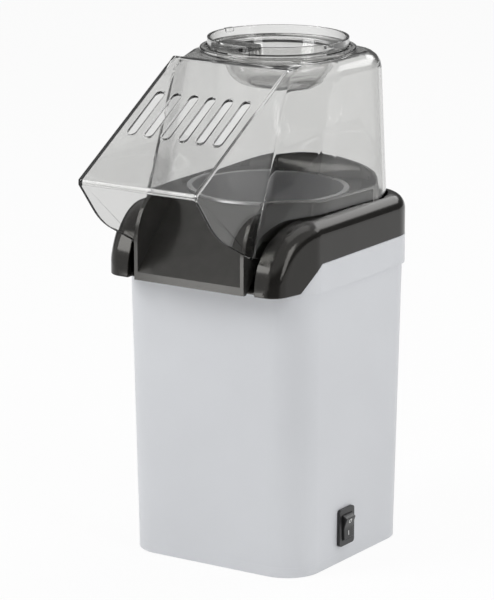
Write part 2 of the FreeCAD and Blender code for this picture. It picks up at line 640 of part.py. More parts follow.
def make_collar():
    body = new_part("collar")
    side = sketch_on(body, "collar_side", "YZ_Plane")
    outline(side, [("-prow_y", "rim_front_z"), ("-rim_slope_front", "rim_front_z"), ("-rim_slope_back", "rim_z"),
                   ("rim_half", "rim_z"), ("rim_half", "collar_top"), ("-prow_y", "collar_top", "nose_radius")])
    pad(body, "collar_block", side, "2 * rim_half", Midplane=True)
    plan = sketch_on(body, "collar_plan")
    rectangle(plan, "-2 * rim_half", "2 * rim_half", "-2 * rim_half", "2 * rim_half")
    outline(plan, [("-prow_half", "-prow_y", "prow_corner"), ("prow_half", "-prow_y", "prow_corner"),
                   ("rim_half", "-prow_back", "rim_corner"), ("rim_half", "rim_half", "rim_corner"),
                   ("-rim_half", "rim_half", "rim_corner"), ("-rim_half", "-prow_back", "rim_corner")])
    block = pocket(body, "collar_sides", plan, "2 * collar_top", Reversed=True)

    def on_shoulder(edge):
        box = edge.BoundBox
        crosses = box.YLength < 0.1 and box.ZLength < 0.1 and box.YMax < 0
        return box.ZMax > value("rim_z") + 1 and box.ZMin > value("rim_front_z") + 1 and not crosses \
            and box.ZLength < value("nose_radius") + 1 and (box.XLength > 0.5 or box.YLength > 0.5)

    fillet(body, "shoulder", block, "shoulder_radius", on_shoulder)
    seat = sketch_on(body, "seat_outline", offset="seat_z")
    hood_plan(seat, "seat_z", "-clearance")
    pocket(body, "seat", seat, "collar_top", Reversed=True)
    well = sketch_on(body, "well_outline")
    hood_plan(well, "seat_z", "seat_width")
    pocket(body, "well", well, "2 * collar_top", Reversed=True)
    under = sketch_on(body, "collar_under_outline")
    rounded_square(under, "rim_half - collar_wall", "rim_corner - collar_wall")
    hood_plan(under, "seat_z", "seat_width - collar_wall")
    pocket(body, "collar_under", under, "collar_roof", Reversed=True)
    mouth = sketch_on(body, "mouth_outline", offset="rim_front_z + prow_floor")
    flare = f"({hood_side_at('seat_z', 'prow_back')} + 2 * clearance)"
    outline(mouth, [("-mouth_half", "-2 * prow_y"), ("mouth_half", "-2 * prow_y"), ("mouth_half", "-tip_y"),
                    (flare, "-prow_back"), (f"-{flare}", "-prow_back"), ("-mouth_half", "-tip_y")])
    pocket(body, "mouth", mouth, "collar_top", Reversed=True)
    lip = sketch_on(body, "mouth_lip_outline")
    floor_front = "-(chute_front - 2 * deck_thick - clearance)"
    rectangle(lip, "-mouth_half", "mouth_half", "-2 * prow_y", floor_front)
    pocket(body, "mouth_lip", lip, "collar_top", Reversed=True)
    floor = sketch_on(body, "mouth_floor_outline", "YZ_Plane")
    slope = "(rim_z - rim_front_z) / (rim_slope_front - rim_slope_back)"
    rise = f"rim_front_z + {slope} * (rim_slope_front - prow_back)"
    outline(floor, [(floor_front, "rim_front_z"), ("-rim_slope_front", "rim_front_z"), ("-prow_back", rise),
                    ("-prow_back", f"{rise} + prow_floor"), ("-rim_slope_front", "rim_front_z + prow_floor"),
                    (floor_front, "rim_front_z + prow_floor")])
    pad(body, "mouth_floor", floor, "2 * mouth_half", Midplane=True)


def make_chute():
    body = new_part("chute")
    flange = sketch_on(body, "flange_outline", offset="seat_z")
    hood_plan(flange, "seat_z", "hood_wall / 2")
    pad(body, "flange", flange, "flange_thick")
    front = sketch_on(body, "flange_front_outline", offset="seat_z")
    for edge, far in (("chute_half", "2 * rim_half"), ("-2 * rim_half", "-chute_half")):
        rectangle(front, edge, far, "-2 * chute_front", "-prow_back")
    pocket(body, "flange_front", front, "flange_thick", Reversed=True)
    walls = (("outer", "AdditiveLoft", "throat_gap"), ("inner", "SubtractiveLoft", "throat_gap + chute_wall"))
    for side, kind, inset in walls:
        lower = sketch_on(body, f"throat_{side}_lower", offset="seat_z")
        hood_plan(lower, "seat_z", inset)
        upper = sketch_on(body, f"throat_{side}_upper", offset="throat_z")
        hood_plan(upper, "throat_z", inset)
        loft(body, kind, f"throat_{side}", lower, upper)
    fall = sketch_on(body, "throat_fall_outline", "YZ_Plane")
    outline(fall, [("-throat_slope", "throat_z"), ("-throat_slope", "2 * throat_z"),
                   ("-2 * chute_front", "2 * throat_z"), ("-2 * chute_front", "chute_side_z"),
                   ("-chute_front", "chute_side_z")])
    pocket(body, "throat_fall", fall, "4 * rim_half", Midplane=True)
    sides = sketch_on(body, "chute_side_outline", "YZ_Plane")
    fallen = "chute_drop * (throat_front - throat_slope) / (chute_front - throat_slope)"
    front_top = f"throat_z - clearance - {fallen}"
    ramp_end = "-chamber_radius + deck_thick"
    outline(sides, [("-chute_front", "rim_front_z"), ("-chute_front + deck_thick", "rim_front_z"),
                    (ramp_end, "deck_z - deck_thick"), (ramp_end, "deck_z"), ("-throat_front", "deck_z"),
                    ("-throat_front", front_top), ("-chute_front", "chute_side_z", "chute_nose")])
    pad(body, "chute_sides", sides, "2 * chute_half", Midplane=True)
    deck = sketch_on(body, "deck_outline", offset="deck_z - deck_thick")
    hood_plan(deck, "deck_z", "throat_gap + chute_wall / 2")
    pad(body, "deck", deck, "deck_thick")
    trough = sketch_on(body, "trough_outline")
    rectangle(trough, "-(chute_half - chute_wall)", "chute_half - chute_wall", "-2 * chute_front", "-chamber_radius")
    pocket(body, "trough", trough, "2 * throat_z", Reversed=True)
    ramp = sketch_on(body, "ramp_outline", "YZ_Plane")
    outline(ramp, [("-chute_front", "rim_front_z"), ("-chute_front + deck_thick", "rim_front_z"),
                   (ramp_end, "deck_z - deck_thick"), (ramp_end, "deck_z"), ("-chamber_radius", "deck_z"),
                   ("-chute_front", "chute_lip_z")])
    pad(body, "ramp", ramp, "2 * chute_half - chute_wall", Midplane=True)
    hole = sketch_on(body, "chamber_hole_outline")
    circle(hole, "0", "0", "chamber_radius + clearance")
    pocket(body, "chamber_hole", hole, "2 * throat_z", Reversed=True)


def hood_tower(body, kind, side, inset):
    """The hood's tapered tower, whose top edge is rounded in steps, at a distance inside its outer face."""
    lower = sketch_on(body, f"hood_{side}_lower", offset="hood_low")
    hood_plan(lower, "hood_low", inset)
    rings = []
    for step in range(count("round_steps") + 1):
        angle = f"(90 deg * {step} / round_steps)"
        height = f"hood_top - hood_round + (hood_round - {inset}) * sin({angle})"
        depth = f"hood_round - (hood_round - {inset}) * cos({angle})"
        rings.append(sketch_on(body, f"hood_{side}_ring_{step}", offset=height))
        hood_plan(rings[-1], height, depth, inset)
    feature(body, kind, f"tower_{side}", lower, Sections=rings, Ruled=True)


def make_hood():
    body = new_part("hood")
    hood_tower(body, "AdditiveLoft", "outer", "0")
    spout = sketch_on(body, "spout_outline", "YZ_Plane")
    outline(spout, [("0", "hood_low"), ("0", "hood_top - hood_round"), ("-top_front_y", "hood_top"),
                    ("-lip_y", "lip_z"), ("-lip_y", "lip_z - lip_height"),
                    ("-cheek_y", "cheek_z", "cheek_radius"), ("-tip_y", "tip_z"), ("-tip_y", "hood_low")])
    pad(body, "spout", spout, "2 * spout_half", Midplane=True)
    hood_tower(body, "SubtractiveLoft", "inner", "hood_wall")
    channel = sketch_on(body, "channel_outline", "YZ_Plane")
    fall = "(hood_top - lip_z) / (lip_y - top_front_y)"
    drop = f"hood_wall * sqrt(1 + ({fall})^2)"
    roof = "hood_top - hood_wall"
    bend = f"top_front_y - (hood_wall - {drop}) / ({fall})"
    outline(channel, [("-top_side_y", "hood_low / 2"), ("-top_side_y", roof), (f"-({bend})", roof),
                      ("-(lip_y - hood_wall)", f"lip_z + ({fall}) * hood_wall - {drop}"),
                      ("-(lip_y - hood_wall)", "lip_z - lip_height"), ("-2 * lip_y", "lip_z - lip_height"),
                      ("-2 * lip_y", "hood_low / 2")])
    pocket(body, "channel", channel, "2 * (spout_half - hood_wall)", Midplane=True)
    below = sketch_on(body, "lower_edge", "YZ_Plane")
    outline(below, [("-tip_y + tip_width", "hood_low / 2"), ("2 * rim_half", "hood_low / 2"),
                    ("2 * rim_half", "hood_bottom"), ("-tip_y + tip_width", "hood_bottom", "tip_radius")])
    pocket(body, "lower_trim", below, "4 * rim_half", Midplane=True)
    front = sketch_on(body, "front_edge", "YZ_Plane")
    outline(front, [("-2 * lip_y", "hood_low / 2"), ("0", "hood_low / 2"), ("0", "tip_z"), ("-tip_y", "tip_z"),
                    ("-cheek_y", "cheek_z", "cheek_radius"), ("-lip_y", "lip_z - lip_height"),
                    ("-2 * lip_y", "lip_z - lip_height")])
    pocket(body, "front_trim", front, "4 * rim_half", Midplane=True)
    neck = sketch_on(body, "neck_outline", offset="hood_top")
    circle(neck, "0", "cup_y", "cup_rim_radius + 2 * clearance + neck_wall")
    circle(neck, "0", "cup_y", "cup_rim_radius + 2 * clearance")
    pad(body, "neck", neck, "neck_height")
    hole = sketch_on(body, "cup_hole_outline", offset="hood_top")
    circle(hole, "0", "cup_y", "hood_hole")
    pocket(body, "cup_hole", hole, "4 * hood_wall")
    slots = sketch_on(body, "slot_outline", offset="hood_top")
    for i in range(count("slot_count")):
        middle = f"({i} - (slot_count - 1) / 2) * slot_pitch"
        left, right = f"{middle} - slot_width / 2", f"{middle} + slot_width / 2"
        bend = "slot_width * 0.45"
        outline(slots, [(left, "-slot_front", bend), (right, "-slot_front", bend),
                        (right, "-slot_back", bend), (left, "-slot_back", bend)])
    pocket(body, "slots", slots, "hood_top - lip_z")


def make_measuring_cup():
    body = new_part("measuring_cup")
    rim_low = "hood_top + clearance"
    revolve(body, "bowl", [
        ("0", "cup_floor"), ("cup_bowl_radius - cup_round / 2", "cup_floor", "cup_round"),
        ("cup_bowl_radius", rim_low), ("cup_rim_radius", rim_low), ("cup_rim_radius", "cup_rim_top"),
        ("cup_rim_radius - cup_wall", "cup_rim_top"), ("cup_rim_radius - cup_wall", f"{rim_low} + cup_wall"),
        ("cup_bowl_radius - cup_wall", f"{rim_low} + cup_wall"),
        ("cup_bowl_radius - cup_wall - cup_round / 2", "cup_floor + cup_wall", "cup_round - cup_wall"),
        ("0", "cup_floor + cup_wall")])
    grip = sketch_on(body, "grip_outline", offset="tab_z")
    outline(grip, [("-tab_half + tab_chamfer", "-tab_outer"), ("tab_half - tab_chamfer", "-tab_outer"),
                   ("tab_half", "-tab_outer + tab_chamfer"), ("tab_half", "-tab_inner", "tab_corner"),
                   ("-tab_half", "-tab_inner", "tab_corner"), ("-tab_half", "-tab_outer + tab_chamfer")])
    pad(body, "grip", grip, "tab_thick")
    lugs = sketch_on(body, "lug_outline", offset="cup_rim_top - lug_height")
    reach = "cup_rim_radius + lug_depth"
    inside = "cup_rim_radius - cup_wall / 2"
    for low, high in ((f"-({reach})", f"-({inside})"), (inside, reach)):
        rectangle(lugs, low, high, "-lug_width / 2", "lug_width / 2")
    pad(body, "lugs", lugs, "lug_height")
    body.Placement = Placement(Vector(), Rotation(Vector(0, 0, 1), value("tab_turn")))
    bind(body, Placement__Base__y="cup_y")


# Chamber, heater and air path

def make_chamber():
    body = new_part("popping_chamber")
    inner = "chamber_radius - chamber_wall"
    revolve(body, "pot", [
        ("0", "chamber_floor"), ("chamber_radius", "chamber_floor", "chamber_round"),
        ("chamber_radius", "deck_z"), ("chamber_flange", "deck_z"), ("chamber_flange", "deck_z + chamber_wall"),
        (inner, "deck_z + chamber_wall"), (inner, "chamber_floor + chamber_wall", "chamber_round - chamber_wall"),
        ("0", "chamber_floor + chamber_wall")])
    slot = sketch_on(body, "swirl_outline", "XZ_Plane")
    top = "swirl_z + swirl_height"
    outline(slot, [("-swirl_lean / 2 - swirl_width / 2", "swirl_z"), ("-swirl_lean / 2 + swirl_width / 2", "swirl_z"),
                   ("swirl_lean / 2 + swirl_width / 2", top), ("swirl_lean / 2 - swirl_width / 2", top)])
    cut = pocket(body, "swirl_slot", slot, "2 * chamber_radius")
    polar(body, "swirl_slots", cut, "swirl_count")


def make_duct():
    body = new_part("air_duct")
    inner = "duct_radius - duct_wall"
    neck = "chamber_radius + duct_gap"
    revolve(body, "duct", [
        (inner, "blower_top"), ("blower_radius", "blower_top"), ("blower_radius", "blower_top + duct_wall"),
        ("duct_radius", "blower_top + duct_wall"), ("duct_radius", "duct_top"), (neck, "duct_top"),
        (neck, "duct_top - duct_wall"), (inner, "duct_top - duct_wall")])


def make_heater():
    former = new_part("heater_former")
    reach = "duct_radius - duct_wall - former_gap"
    cross = sketch_on(former, "cross_outline", offset="former_bottom")
    half = "former_wall / 2"
    outline(cross, [(half, half), (half, reach), (f"-{half}", reach), (f"-{half}", half), (f"-({reach})", half),
                    (f"-({reach})", f"-{half}"), (f"-{half}", f"-{half}"), (f"-{half}", f"-({reach})"),
                    (half, f"-({reach})"), (half, f"-{half}"), (reach, f"-{half}"), (reach, half)])
    pad(former, "cross", cross, "former_top - former_bottom")
    for role in ("XZ_Plane", "YZ_Plane"):
        holes = sketch_on(former, f"coil_holes_{role[:2]}_outline", role)
        for i in range(count("coil_count")):
            for side in "+-":
                circle(holes, f"{side}coil_radius", f"coil_bottom + {i} * coil_pitch", "coil_hole")
        pocket(former, f"coil_holes_{role[:2]}", holes, "2 * coil_hole", Midplane=True)
    turns = []
    for i in range(count("coil_count")):
        turn = doc.addObject("Part::Torus", f"coil_turn_{i + 1}")
        bind(turn, Radius1="coil_radius", Radius2="coil_wire")
        bind(turn, Placement__Base__z=f"coil_bottom + {i} * coil_pitch")
        turns.append(turn)
    group("heater_coil", turns)
    thermostat = new_part("thermostat")
    low = "chamber_floor - thermostat_height"
    revolve(thermostat, "can", [
        ("0", low), ("thermostat_radius * 0.7", low), ("thermostat_radius * 0.7", f"{low} + thermostat_height / 2"),
        ("thermostat_radius", f"{low} + thermostat_height / 2"), ("thermostat_radius", "chamber_floor"),
        ("0", "chamber_floor")])
    fuse = cylinder("thermal_fuse", "fuse_radius", "0", "fuse_length")
    fuse.Label = "thermal_fuse"
    fuse.Placement = Placement(Vector(), Rotation(Vector(0, 1, 0), 90))
    bind(fuse, Placement__Base__x="fuse_x", Placement__Base__z="former_top + fuse_radius + former_gap")
    parts.append(fuse)


def make_blower():
    body = new_part("blower_housing")
    floor_top = "blower_floor + blower_thick"
    inner = "blower_radius - blower_wall"
    revolve(body, "tub", [
        ("4 * shaft_radius", "blower_floor"), ("blower_radius", "blower_floor", "blower_wall"),
        ("blower_radius", "blower_top"), (inner, "blower_top"), (inner, floor_top),
        ("4 * shaft_radius", floor_top)])
    intake = sketch_on(body, "intake_outline")
    outline(intake, [("intake_inner", "-intake_half / 2", "blower_wall"),
                     ("intake_outer", "-intake_half", "blower_wall"),
                     ("intake_outer", "intake_half", "blower_wall"),
                     ("intake_inner", "intake_half / 2", "blower_wall")])
    cut = pocket(body, "intake", intake, "blower_top", Reversed=True)
    intakes = polar(body, "intakes", cut, "intake_count")
    holes = sketch_on(body, "blower_hole_outline")
    for x, y in at_corners("column_at"):
        circle(holes, x, y, "screw_radius")
    for side in "+-":
        circle(holes, f"{side}motor_screw_at", "0", "motor_screw_radius")
    body.Tip = intakes
    pocket(body, "blower_holes", holes, "blower_top", Reversed=True)


def make_motor():
    can = new_part("motor_can")
    bore = "shaft_radius + bearing_gap"
    revolve(can, "can", [(bore, "motor_bottom"), ("motor_radius", "motor_bottom", "shaft_radius"),
                         ("motor_radius", "blower_floor", "shaft_radius"), (bore, "blower_floor")])
    taps = sketch_on(can, "tap_outline", offset="blower_floor")
    for side in "+-":
        circle(taps, f"{side}motor_screw_at", "0", "motor_screw_radius")
    pocket(can, "taps", taps, "motor_screw_length - blower_thick")
    cap = new_part("motor_end_cap")
    revolve(cap, "cap", [(bore, "cap_bottom"), ("cap_radius", "cap_bottom", "shaft_radius"),
                         ("cap_radius", "motor_bottom"), (bore, "motor_bottom")])
    shaft = cylinder("motor_shaft", "shaft_radius", "shaft_bottom", "shaft_top")
    shaft.Label = "motor_shaft"
    parts.append(shaft)
    fan = new_part("fan")
    disc_top = "fan_bottom + fan_disc"
    revolve(fan, "hub", [("shaft_radius", "fan_bottom"), ("fan_radius", "fan_bottom"), ("fan_radius", disc_top),
                         ("fan_hub", disc_top, "fan_disc"), ("fan_hub", "fan_top"), ("shaft_radius", "fan_top")])
    blade = sketch_on(fan, "blade_outline", offset=disc_top)
    root = "fan_hub - shaft_radius"
    outline(blade, [(root, "-blade_wall / 2"), ("fan_radius * 0.6", "blade_lean / 3 - blade_wall / 2", "fan_radius"),
                    ("fan_radius * 0.96", "blade_lean - blade_wall / 2"),
                    ("fan_radius * 0.96", "blade_lean + blade_wall / 2"),
                    ("fan_radius * 0.6", "blade_lean / 3 + blade_wall / 2", "fan_radius"),
                    (root, "blade_wall / 2")])
    first = pad(fan, "blade", blade, f"fan_top - ({disc_top})")
    polar(fan, "blades", first, "blade_count")


# Electrical pieces

def make_rectifier():
    board = new_part("rectifier_board")
    low = "base_height + board_post"
    face = sketch_on(board, "board_outline", offset=low)
    rectangle(face, "-board_x - board_half_x", "-board_x + board_half_x", "-board_half_y", "board_half_y")
    pad(board, "board", face, "board_thick")
    diodes = []
    for i in range(4):
        diode = doc.addObject("Part::Cylinder", f"diode_{i + 1}")
        bind(diode, Radius="diode_radius", Height="diode_length")
        diode.Placement = Placement(Vector(), Rotation(Vector(0, 1, 0), 90))
        bind(diode, Placement__Base__x="-board_x - diode_length / 2",
             Placement__Base__y=f"({i} - 1.5) * diode_pitch",
             Placement__Base__z=f"{low} + board_thick + diode_radius")
        diodes.append(diode)
    group("rectifier_diodes", diodes)


def switch_face():
    """The plane on which the switch's bezel lies against the tapered side."""
    return body_half_at("switch_z + switch_height / 2")


def make_switch():
    body = new_part("switch_body")
    face = switch_face()
    bezel = sketch_on(body, "bezel_outline", "YZ_Plane", face)
    corner = "bezel_thick"
    low_y, high_y = "-switch_y - switch_width / 2", "-switch_y + switch_width / 2"
    low_z, high_z = "switch_z - switch_height / 2", "switch_z + switch_height / 2"
    outline(bezel, [(low_y, low_z, corner), (high_y, low_z, corner), (high_y, high_z, corner), (low_y, high_z, corner)])
    pad(body, "bezel", bezel, "bezel_thick")
    core = sketch_on(body, "core_outline", "YZ_Plane", face)
    rectangle(core, "-switch_y - switch_body_width / 2", "-switch_y + switch_body_width / 2",
              "switch_z - switch_body_height / 2", "switch_z + switch_body_height / 2")
    pad(body, "core", core, "switch_body_depth", Reversed=True)
    pivot_x = f"{face} + bezel_thick - rocker_depth"
    cavity = sketch_on(body, "cavity_outline", "XZ_Plane", "switch_y")
    circle(cavity, pivot_x, "switch_z", "rocker_radius + rocker_gap")
    pocket(body, "cavity", cavity, "rocker_width + 2 * rocker_gap", Midplane=True)
    pin_hole = sketch_on(body, "pin_hole_outline", "XZ_Plane", "switch_y")
    circle(pin_hole, pivot_x, "switch_z", "rocker_pin + pin_gap")
    pocket(body, "pin_hole", pin_hole, "switch_body_width", Midplane=True)
    rocker = new_part("switch_rocker")
    disc = sketch_on(rocker, "rocker_outline", "XZ_Plane")
    circle(disc, "0", "0", "rocker_radius")
    pad(rocker, "rocker_disc", disc, "rocker_width", Midplane=True)
    away = sketch_on(rocker, "rocker_face_outline", "XZ_Plane")
    far = "2 * rocker_radius"
    outline(away, [("rocker_face", "0", "rocker_radius"), ("rocker_face + 2 * rocker_rise", far), (far, far),
                   (far, f"-{far}"), ("rocker_face + 2 * rocker_rise", f"-{far}")])
    pocket(rocker, "rocker_face_cut", away, "2 * rocker_width", Midplane=True)
    pin = sketch_on(rocker, "pin_outline", "XZ_Plane")
    circle(pin, "0", "0", "rocker_pin")
    pad(rocker, "pin", pin, "switch_body_width - 2 * pin_gap", Midplane=True)
    rocker.Placement = Placement(Vector(), Rotation(Vector(0, 1, 0), value("rocker_tilt")))
    bind(rocker, Placement__Base__x=pivot_x, Placement__Base__y="-switch_y", Placement__Base__z="switch_z")
    spades = []
    for i in range(2):
        spade = doc.addObject("Part::Box", f"switch_spade_{i + 1}")
        bind(spade, Length="spade_length", Width="spade_width", Height="spade_thick")
        bind(spade, Placement__Base__x=f"{face} - switch_body_depth - spade_length",
             Placement__Base__y="-switch_y - spade_width / 2",
             Placement__Base__z=f"switch_z + ({i} - 0.5) * spade_pitch - spade_thick / 2")
        spades.append(spade)
    group("switch_terminals", spades)


def make_gland():
    body = new_part("cord_gland")
    groove = "body_wall / 2 + former_gap + bearing_gap"
    revolve(body, "gland", [
        ("gland_bore", f"-({groove}) - gland_inner"), ("gland_flange", f"-({groove}) - gland_inner", "gland_outer / 2"),
        ("gland_flange", f"-({groove})"), ("inlet_radius - bearing_gap", f"-({groove})"),
        ("inlet_radius - bearing_gap", groove), ("gland_flange", groove),
        ("gland_flange", f"{groove} + gland_outer", "gland_outer / 2"), ("gland_bore", f"{groove} + gland_outer")])
    body.Placement = Placement(Vector(), Rotation(Vector(1, 0, 0), -90))
    bind(body, Placement__Base__y=f"{body_half_at('inlet_z')} - body_wall / 2", Placement__Base__z="inlet_z")


def check_and_write():
    """Stop on any failed object, then write each piece to its own file."""
    doc.recompute()
    failed = [o.Name for o in doc.Objects if {"Invalid", "Error"} & set(o.State)]
    failed += [p.Label for p in parts if p.Shape.isNull() or not p.Shape.isValid() or not p.Shape.Solids]
    if failed:
        raise RuntimeError("not built: " + ", ".join(failed))
    os.makedirs("parts", exist_ok=True)
    for part in parts:
        part.Shape.exportStep(f"parts/{part.Label}.step")
        print(part.Label, len(part.Shape.Solids), "solid", round(part.Shape.Volume / 1000, 2), "cm3")


for make in (make_housing, make_base_plate, make_feet, make_screws, make_collar, make_chute, make_hood,
             make_measuring_cup, make_chamber, make_duct, make_heater, make_blower, make_motor,
             make_rectifier, make_switch, make_gland):
    make()
check_and_write()
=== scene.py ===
"""Looks of a hot-air popcorn maker: white housing, gloss black collar, smoked clear hood. Metres, +Z up."""
import json
import math

import bmesh
import bpy
from mathutils import Matrix, Vector
from mathutils.bvhtree import BVHTree


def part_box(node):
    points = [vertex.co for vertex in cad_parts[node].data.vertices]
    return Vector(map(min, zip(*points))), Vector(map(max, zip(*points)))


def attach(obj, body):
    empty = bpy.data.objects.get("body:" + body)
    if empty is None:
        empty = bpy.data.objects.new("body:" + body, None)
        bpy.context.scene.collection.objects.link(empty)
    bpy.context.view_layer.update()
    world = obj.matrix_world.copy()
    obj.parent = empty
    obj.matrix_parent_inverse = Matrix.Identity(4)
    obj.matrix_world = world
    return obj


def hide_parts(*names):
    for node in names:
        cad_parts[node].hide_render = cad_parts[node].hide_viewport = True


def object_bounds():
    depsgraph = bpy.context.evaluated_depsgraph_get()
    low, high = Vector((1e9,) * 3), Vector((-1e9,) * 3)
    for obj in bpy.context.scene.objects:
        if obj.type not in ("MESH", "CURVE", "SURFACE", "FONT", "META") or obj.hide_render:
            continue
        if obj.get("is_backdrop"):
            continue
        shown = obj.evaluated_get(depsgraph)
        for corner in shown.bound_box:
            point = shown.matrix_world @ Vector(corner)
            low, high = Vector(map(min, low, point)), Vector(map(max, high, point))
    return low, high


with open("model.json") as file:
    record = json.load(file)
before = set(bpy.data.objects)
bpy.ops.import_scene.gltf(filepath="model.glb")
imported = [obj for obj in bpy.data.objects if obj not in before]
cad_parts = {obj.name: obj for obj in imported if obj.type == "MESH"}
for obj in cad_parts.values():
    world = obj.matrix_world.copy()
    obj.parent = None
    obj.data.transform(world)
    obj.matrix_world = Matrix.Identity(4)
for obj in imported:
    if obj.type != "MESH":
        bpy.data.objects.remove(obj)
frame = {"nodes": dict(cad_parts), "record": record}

CAD_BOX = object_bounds()
NODES = frame["nodes"]
MM = 0.001

# Photograph's view

PHOTO_HEIGHT_PX = 600
LENS_PX = 3472.0
VIEW_AZIMUTH = math.radians(33.3)
VIEW_ELEVATION = math.radians(13.8)
VIEW_DISTANCE = 1914 * MM
VIEW_TARGET = Vector((-6.0, -11.4, 139.5)) * MM
SENSOR_HEIGHT_MM = 24.0


# Materials

class Wire:
    """A value on its way through a material. The operators add the nodes that work it out."""

    def __init__(self, graph, socket):
        self.graph = graph
        self.socket = socket

    def math(self, operation, *values):
        return self.graph.node("ShaderNodeMath", {"operation": operation}, dict(enumerate(values)))

    def __add__(self, other):
        return self.math("ADD", self, other)

    def __radd__(self, other):
        return self.math("ADD", other, self)

    def __sub__(self, other):
        return self.math("SUBTRACT", self, other)

    def __rsub__(self, other):
        return self.math("SUBTRACT", other, self)

    def __mul__(self, other):
        return self.math("MULTIPLY", self, other)

    def __rmul__(self, other):
        return self.math("MULTIPLY", other, self)

    def __truediv__(self, other):
        return self.math("DIVIDE", self, other)

    def __pow__(self, other):
        return self.math("POWER", self, other)

    def cosine(self):
        return self.math("COSINE", self)

    def sine(self):
        return self.math("SINE", self)

    def or_more(self, other):
        return self.math("MAXIMUM", self, other)

    def or_less(self, other):
        return self.math("MINIMUM", self, other)


class Graph:
    """A node tree under construction."""

    def __init__(self, tree):
        self.tree = tree

    def node(self, kind, settings=None, inputs=None, output=0):
        made = self.tree.nodes.new(kind)
        for name, setting in (settings or {}).items():
            if name == "stops":
                self.set_stops(made.color_ramp, setting)
            else:
                setattr(made, name, setting)
        for name, value in (inputs or {}).items():
            self.put(made.inputs[name], value)
        return Wire(self, made.outputs[output])

    def set_stops(self, ramp, stops):
        while len(ramp.elements) < len(stops):
            ramp.elements.new(0.5)
        for element, (place, colour) in zip(ramp.elements, stops):
            element.position = place
            element.color = (*colour, 1)

    def put(self, socket, value):
        if isinstance(value, Wire):
            self.tree.links.new(value.socket, socket)
        elif socket.type == "RGBA" and len(value) == 3:
            socket.default_value = (*value, 1)
        else:
            socket.default_value = value

    def step(self, value, start, end):
        """A soft step from 0 at the start to 1 at the end."""
        return self.node("ShaderNodeMapRange", {"interpolation_type": "SMOOTHSTEP"},
                         {"Value": value, "From Min": start, "From Max": end})

    def seen(self):
        """1 where the camera, a reflection or the clear plastic looks, and 0 for light on its way."""
        camera, glossy, clear = (self.node("ShaderNodeLightPath", output=f"Is {ray} Ray")
                                 for ray in ("Camera", "Glossy", "Transmission"))
        return camera.or_more(glossy).or_more(clear)

    def mirrored(self):
        """1 for what shows in a reflection."""
        return self.node("ShaderNodeLightPath", output="Glossy Depth").or_less(1)


class Finish(Graph):
    """A material under construction, with one principled shader."""

    def __init__(self, name):
        self.material = bpy.data.materials.new(name)
        self.material.use_nodes = True
        super().__init__(self.material.node_tree)
        self.shader = self.tree.nodes["Principled BSDF"]

    def set(self, **sockets):
        for name, value in sockets.items():
            self.put(self.shader.inputs[name.replace("_", " ")], value)
        return self

    def place(self):
        return self.node("ShaderNodeTexCoord", output="Object")

    def noise(self, size, detail=2.0, stretch=(1, 1, 1)):
        """Noise whose patches are about one size across, in metres."""
        where = self.node("ShaderNodeMapping", inputs={"Vector": self.place(), "Scale": stretch})
        return self.node("ShaderNodeTexNoise", inputs={
            "Vector": where, "Scale": 1 / size, "Detail": detail})

    def grains(self, size):
        return self.node("ShaderNodeTexVoronoi", inputs={"Vector": self.place(), "Scale": 1 / size})

    def ramp(self, value, *stops):
        return self.node("ShaderNodeValToRGB", {"stops": stops}, {"Fac": value})

    def blend(self, factor, first, second):
        sockets = {0: factor, 6: first, 7: second}
        return self.node("ShaderNodeMix", {"data_type": "RGBA"}, sockets, output=2)

    def bump(self, height, depth, strength):
        return self.set(Normal=self.node("ShaderNodeBump", inputs={
            "Height": height, "Distance": depth, "Strength": strength}))


def white_satin():
    """Moulded white plastic with a fine spark-eroded texture."""
    finish = Finish("white_satin")
    cloud = finish.noise(60 * MM)
    grain = finish.noise(0.45 * MM, detail=3)
    colour = finish.ramp(cloud, (0.3, (0.655, 0.668, 0.694)), (0.7, (0.680, 0.694, 0.720)))
    finish.set(Base_Color=colour, Roughness=0.34 + cloud * 0.06 + grain * 0.08, Specular_IOR_Level=0.45)
    return finish.bump(grain, 0.02 * MM, 0.5).material


def gloss_black():
    """Polished black plastic with faint polishing haze."""
    finish = Finish("gloss_black")
    haze = finish.noise(14 * MM, detail=4)
    hair = finish.noise(1.2 * MM, detail=3, stretch=(1, 6, 1))
    colour = finish.ramp(haze, (0.3, (0.0072, 0.0066, 0.0058)), (0.8, (0.0110, 0.0102, 0.0092)))
    finish.set(Base_Color=colour, Roughness=0.10 + haze * 0.05 + hair * 0.03,
               Specular_IOR_Level=0.40, Specular_Tint=(1.0, 0.98, 0.94))
    return finish.bump(haze, 0.015 * MM, 0.2).material


def satin_black():
    """Black plastic of the trough and throat, less polished than the collar."""
    finish = Finish("satin_black")
    haze = finish.noise(9 * MM, detail=4)
    grain = finish.noise(0.6 * MM, detail=2)
    colour = finish.ramp(haze, (0.3, (0.028, 0.0272, 0.0255)), (0.8, (0.036, 0.0350, 0.0330)))
    finish.set(Base_Color=colour, Roughness=0.15 + haze * 0.06 + grain * 0.03,
               Specular_Tint=(1.0, 0.985, 0.95))
    return finish.bump(grain, 0.015 * MM, 0.5).material


def smoked_clear():
    """See-through grey plastic, with the slight waviness of a moulding, and painted shade that darkens its
    tint where the sheet is seen edge-on.
    """
    finish = Finish("smoked_clear")
    wave = finish.noise(24 * MM, detail=1)
    grazing = finish.node("ShaderNodeLayerWeight", inputs={"Blend": 0.5}, output="Facing")
    tint = finish.ramp(wave, (0.2, (0.800, 0.800, 0.793)), (0.8, (0.830, 0.830, 0.823)))
    # painted shade: the colour the tint turns to where the sheet is seen edge-on, standing in for the
    # darker look along a longer path through it
    painted_edge_on_shade = (0.16, 0.16, 0.155)
    finish.set(Base_Color=finish.blend(grazing ** 2.5, tint, painted_edge_on_shade), Roughness=0.01 + wave * 0.02,
               Transmission_Weight=1.0, IOR=1.45, Specular_IOR_Level=0.3)
    return finish.bump(wave, 0.02 * MM, 0.1).material


